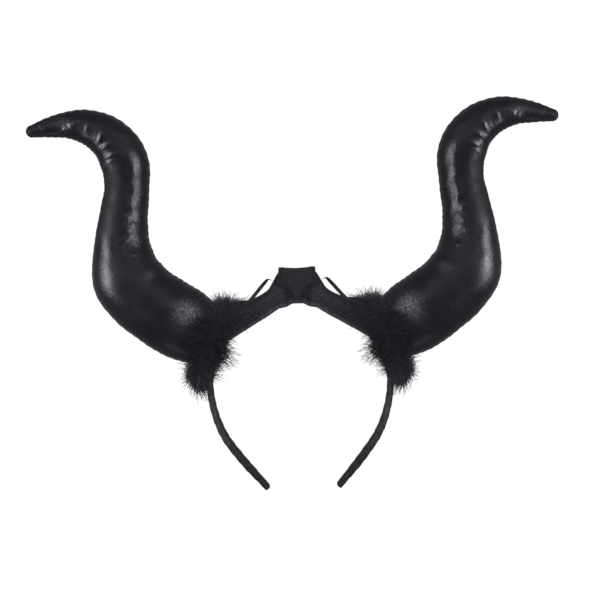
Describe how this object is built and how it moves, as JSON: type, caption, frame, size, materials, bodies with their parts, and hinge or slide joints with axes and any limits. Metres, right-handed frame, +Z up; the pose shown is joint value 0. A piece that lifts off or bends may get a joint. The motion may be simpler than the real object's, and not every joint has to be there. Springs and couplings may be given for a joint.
{
  "type": "horned costume headband",
  "caption": "Costume headband with stuffed, S-curved black faux-leather horns, fur trim at their roots, a cloth-covered crown with a gathered knot, and ribbon-wrapped springy arms.",
  "frame": {"origin": "on the surface the headband lies on, under the middle of its outline", "axes": "+X to the right and +Y towards the horns' tops as seen from the front, +Z up, out of the front"},
  "size_m": [0.3844, 0.2808, 0.0507],
  "materials": {
    "faux_leather": "glossy, grained",
    "satin": "satin",
    "cloth": "matte",
    "fur": "deep pile",
    "tape": "matte"
  },
  "bodies": {
    "root": {"band": "satin", "knot": "cloth", "left_sleeve": "cloth", "right_sleeve": "cloth", "left_tape": "tape", "right_tape": "tape", "left_horn": "faux_leather", "right_horn": "faux_leather", "left_fur": "fur", "right_fur": "fur"}
  },
  "joints": []
}
